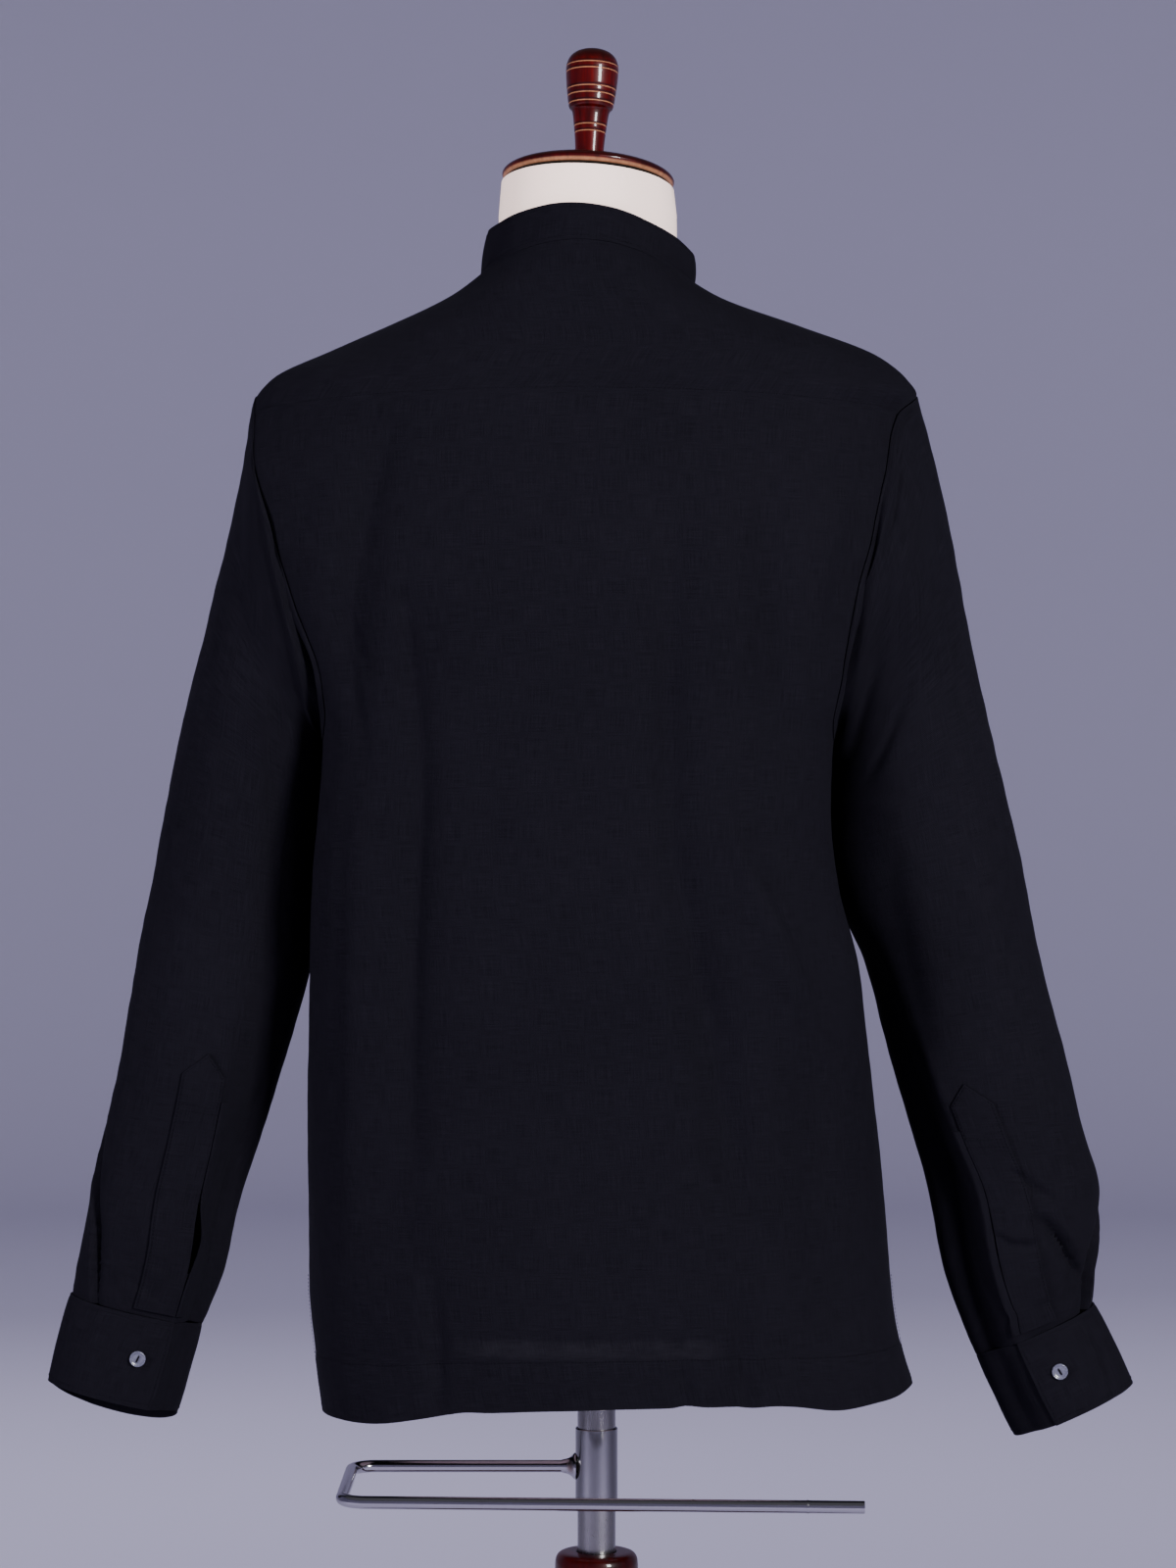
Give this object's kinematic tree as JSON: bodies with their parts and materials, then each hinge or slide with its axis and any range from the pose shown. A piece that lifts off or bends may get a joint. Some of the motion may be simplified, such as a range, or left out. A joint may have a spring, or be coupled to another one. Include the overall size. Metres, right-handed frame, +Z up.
{
  "type": "short kurta on limbless dress form with stand",
  "caption": "Long-sleeved short kurta with a band collar, worn by a limbless dress form on a steel pole with a trouser bar, wooden column and round base.",
  "frame": {"origin": "centre of the base's underside, on the floor and on the pole's axis", "axes": "+Z up along the pole; the garment's front faces -Y and the wearer's left is +X"},
  "size_m": [0.7672, 0.41, 1.6168],
  "materials": {
    "black_cotton": "plain weave, matt",
    "button_grey": "satin",
    "cream_cloth": "fine weave, matt",
    "mahogany": "dark red-brown gloss lacquer",
    "pole_steel": "brushed",
    "bar_chrome": "polished, a little worn",
    "cream_paint": "satin"
  },
  "bodies": {
    "stand": {"base": "mahogany", "column": "mahogany"},
    "pole": {"pole": "pole_steel"},
    "form": {"form_torso": "cream_cloth", "neck_cap": "mahogany", "finial": "mahogany", "form_socket": "cream_paint", "lock_knob": "cream_paint", "kurta_back": "black_cotton", "kurta_yoke": "black_cotton", "kurta_front": "black_cotton", "front_placket": "black_cotton", "collar": "black_cotton", "sleeve_left": "black_cotton", "sleeve_placket_left": "black_cotton", "under_placket_left": "black_cotton", "cuff_left": "black_cotton", "sleeve_right": "black_cotton", "sleeve_placket_right": "black_cotton", "under_placket_right": "black_cotton", "cuff_right": "black_cotton", "front_button_1": "button_grey", "front_button_2": "button_grey", "front_button_3": "button_grey", "collar_button": "button_grey", "cuff_button_left": "button_grey", "cuff_button_right": "button_grey"},
    "bar": {"bar_sleeve": "bar_chrome", "trouser_bar": "bar_chrome"}
  },
  "joints": [
    {"name": "height_slide", "type": "slide", "parent": "stand", "child": "pole", "axis": [0, 0, 1], "range_m": [-0.02, 0.18]},
    {"name": "form_turn", "type": "hinge", "parent": "pole", "child": "form", "pos_m": [0, 0, 0.7], "axis": [0, 0, 1], "continuous": true},
    {"name": "bar_swivel", "type": "hinge", "parent": "pole", "child": "bar", "pos_m": [0, 0, 0.62], "axis": [0, 0, 1], "continuous": true}
  ]
}
